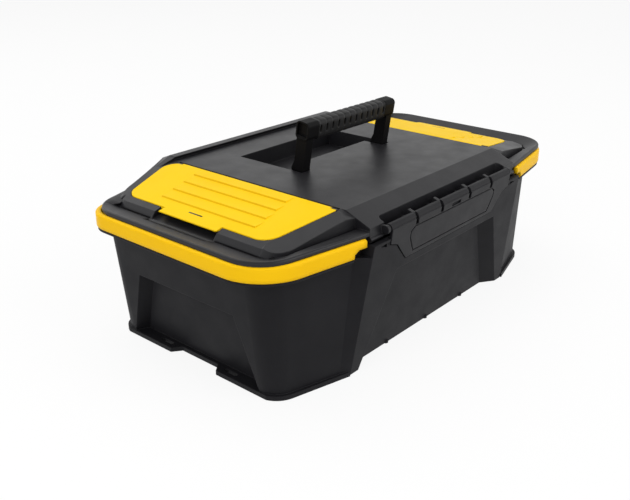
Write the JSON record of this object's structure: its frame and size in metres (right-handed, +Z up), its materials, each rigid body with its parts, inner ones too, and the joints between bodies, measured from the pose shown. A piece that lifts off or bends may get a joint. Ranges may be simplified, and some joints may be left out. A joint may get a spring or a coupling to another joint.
{
  "type": "toolbox with tray",
  "caption": "Lidded toolbox with bright rim bands, flap-lid organizers set in the sloping lid ends, folding carry handle, wide front latch and a lift-out tray.",
  "frame": {"origin": "centre of the base on the floor, below the middle of the rim", "axes": "+X along the long side towards the right end, +Y to the rear hinges, +Z up; the latch faces -Y"},
  "size_m": [0.56, 0.3244, 0.2337],
  "materials": {
    "body_black": "fine moulded grain, charcoal black",
    "lid_black": "fine moulded grain, charcoal black",
    "band_yellow": "satin amber yellow",
    "flap_yellow": "satin bright yellow",
    "latch_black": "fine moulded grain, charcoal black",
    "handle_black": "satin black",
    "grip_black": "ribbed soft black",
    "tray_black": "fine moulded grain, charcoal black",
    "pin_steel": "plain bright steel"
  },
  "bodies": {
    "tub": {"tub": "body_black", "rim_band_left": "band_yellow", "rim_band_right": "band_yellow", "lid_hinge_pin_left": "pin_steel", "lid_hinge_pin_right": "pin_steel"},
    "lid": {"lid": "lid_black", "organizer_pins_left": "pin_steel", "organizer_pins_right": "pin_steel", "latch_pin": "pin_steel", "handle_pin_left": "pin_steel", "handle_pin_right": "pin_steel", "bin_divider_left": "lid_black", "bin_divider_right": "lid_black"},
    "organizer_left": {"organizer_lid_left": "flap_yellow"},
    "organizer_right": {"organizer_lid_right": "flap_yellow"},
    "latch": {"front_latch": "latch_black"},
    "handle": {"handle_frame": "handle_black", "handle_grip": "grip_black"},
    "tray": {"tray": "tray_black", "tray_dividers": "tray_black"}
  },
  "joints": [
    {"name": "lid_hinge", "type": "hinge", "parent": "tub", "child": "lid", "pos_m": [0, 0.156, 0.151], "axis": [-1, 0, 0], "range_deg": [0, 100]},
    {"name": "latch_hinge", "type": "hinge", "parent": "lid", "child": "latch", "pos_m": [0, -0.1575, 0.157], "axis": [-1, 0, 0], "range_deg": [0, 110]},
    {"name": "handle_fold", "type": "hinge", "parent": "lid", "child": "handle", "pos_m": [0, -0.001, 0.1655], "axis": [-1, 0, 0], "range_deg": [0, 98]},
    {"name": "organizer_left_hinge", "type": "hinge", "parent": "lid", "child": "organizer_left", "pos_m": [-0.1474, 0, 0.17206], "axis": [0, 1, 0], "range_deg": [0, 100]},
    {"name": "organizer_right_hinge", "type": "hinge", "parent": "lid", "child": "organizer_right", "pos_m": [0.1474, 0, 0.17206], "axis": [0, -1, 0], "range_deg": [0, 100]},
    {"name": "tray_lift", "type": "slide", "parent": "tub", "child": "tray", "axis": [0, 0, 1], "range_m": [0, 0.034]}
  ]
}
